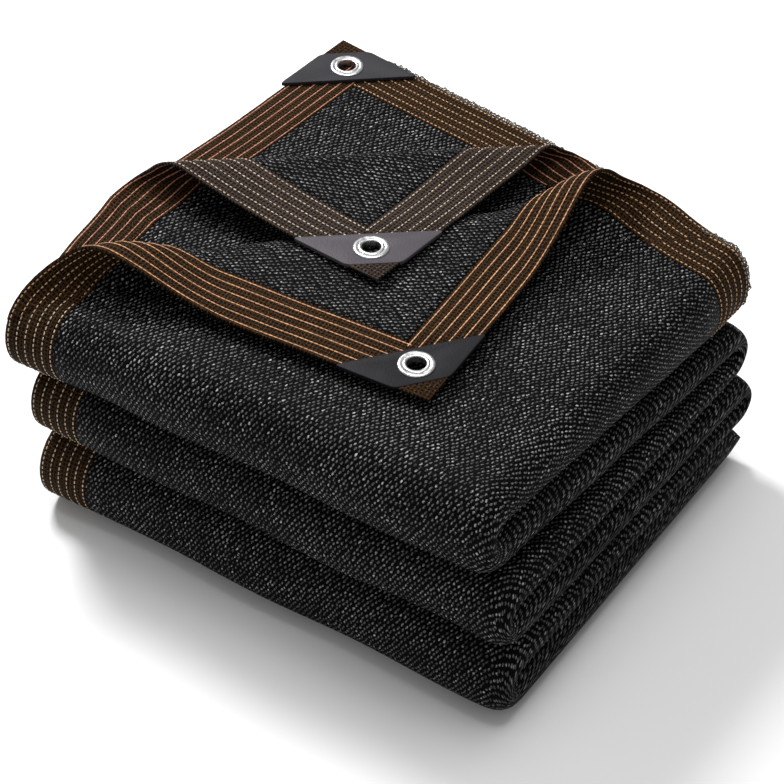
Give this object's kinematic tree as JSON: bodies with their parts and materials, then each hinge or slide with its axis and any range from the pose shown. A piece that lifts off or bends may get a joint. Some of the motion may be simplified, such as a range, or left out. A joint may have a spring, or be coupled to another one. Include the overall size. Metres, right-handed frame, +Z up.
{
  "type": "shade cloth",
  "caption": "Knitted shade cloth folded into a thick pack, with stitched edge tape, corner patches and eyelets, two corners peeled back on top",
  "frame": {"origin": "centre of the folded pack's box, on the surface it rests on", "axes": "+X runs along the front folds from the taped side to the closed side, +Y from the front folds to the free end, +Z up"},
  "size_m": [0.3612, 0.3346, 0.2085],
  "materials": {
    "knit": "black knitted polyethylene monofilament and tape yarn, matt with small glints",
    "tape": "dark brown woven edge tape sewn with rows of orange and cream thread",
    "patch": "dark grey coated corner patch, soft satin sheen",
    "eyelet": "pressed bright metal eyelet"
  },
  "bodies": {
    "root": {"panel": "knit", "side_tape": "tape", "end_tape": "tape", "side_tape_top": "tape", "end_tape_top": "tape", "side_tape_middle": "tape", "end_tape_middle": "tape", "taped_corner_top": "tape", "taped_corner_middle": "tape", "taped_corner_back": "tape", "corner_patch_top": "patch", "corner_patch_middle": "patch", "corner_patch_back": "patch", "eyelet_top": "eyelet", "eyelet_middle": "eyelet", "eyelet_back": "eyelet"}
  },
  "joints": []
}
